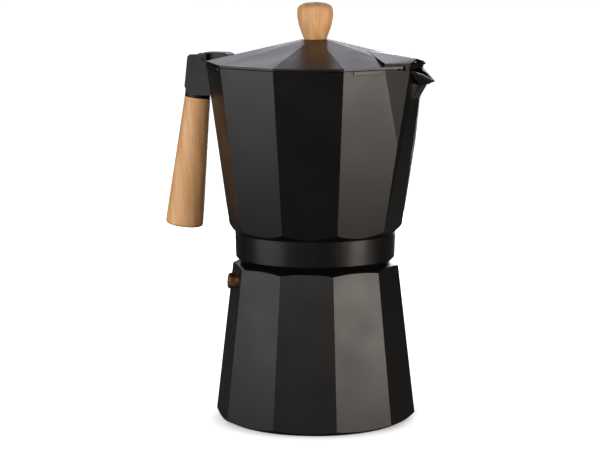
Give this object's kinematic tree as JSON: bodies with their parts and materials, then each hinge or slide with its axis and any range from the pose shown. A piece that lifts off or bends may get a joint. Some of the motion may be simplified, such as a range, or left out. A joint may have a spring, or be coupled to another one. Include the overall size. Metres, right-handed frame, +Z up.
{
  "type": "moka pot",
  "caption": "Stove-top coffee pot with faceted black body, screw-on upper vessel, hinged lid, and wooden grip and knob.",
  "frame": {"origin": "centre of the flat base, on the pot's own axis", "axes": "+Z up along the pot's axis, +X towards the spout, -X towards the handle"},
  "size_m": [0.1927, 0.1464, 0.28],
  "materials": {
    "black_coating": "matte satin black coating on cast aluminium",
    "black_bracket": "satin black coating",
    "brass": "machined",
    "copper_washer": "soft copper",
    "steel": "zinc plated",
    "aluminium": "spun, bare",
    "silicone": "matte",
    "beech": "turned and oiled"
  },
  "bodies": {
    "boiler": {"boiler": "black_coating", "valve_body": "brass", "valve_washer": "copper_washer", "valve_cap": "brass", "valve_spring": "steel"},
    "poppet": {"valve_poppet": "steel"},
    "funnel": {"funnel": "aluminium", "funnel_plate": "aluminium"},
    "vessel": {"vessel": "black_coating", "gasket": "silicone", "filter_plate": "aluminium", "handle_bracket": "black_bracket", "bracket_screws": "steel", "hinge_pin": "steel", "grip": "beech", "grip_rod": "steel", "grip_washer": "steel", "grip_nut": "steel"},
    "lid": {"lid": "black_coating", "knob": "beech", "knob_insert": "brass", "knob_screw": "steel", "knob_washer": "steel"}
  },
  "joints": [
    {"name": "valve_lift", "type": "slide", "parent": "boiler", "child": "poppet", "axis": [-0.8279, -0.55, 0.1099], "range_m": [0, 0.001], "stiffness_N_per_m": 400, "springref_m": -0.0028, "deforming": ["valve_spring"]},
    {"name": "funnel_lift", "type": "slide", "parent": "boiler", "child": "funnel", "axis": [0, 0, 1], "range_m": [0, 0.00601]},
    {"name": "vessel_turn", "type": "hinge", "parent": "funnel", "child": "vessel", "pos_m": [0, 0, 0.12], "axis": [0, 0, 1], "range_deg": [0, 720]},
    {"name": "lid_open", "type": "hinge", "parent": "vessel", "child": "lid", "pos_m": [-0.07743, 0, 0.2406], "axis": [0, -1, 0], "range_deg": [0, 105]}
  ],
  "couplings": [
    {"joint": "funnel_lift", "follows": "vessel_turn", "m_per_rad": 0.00047746}
  ]
}
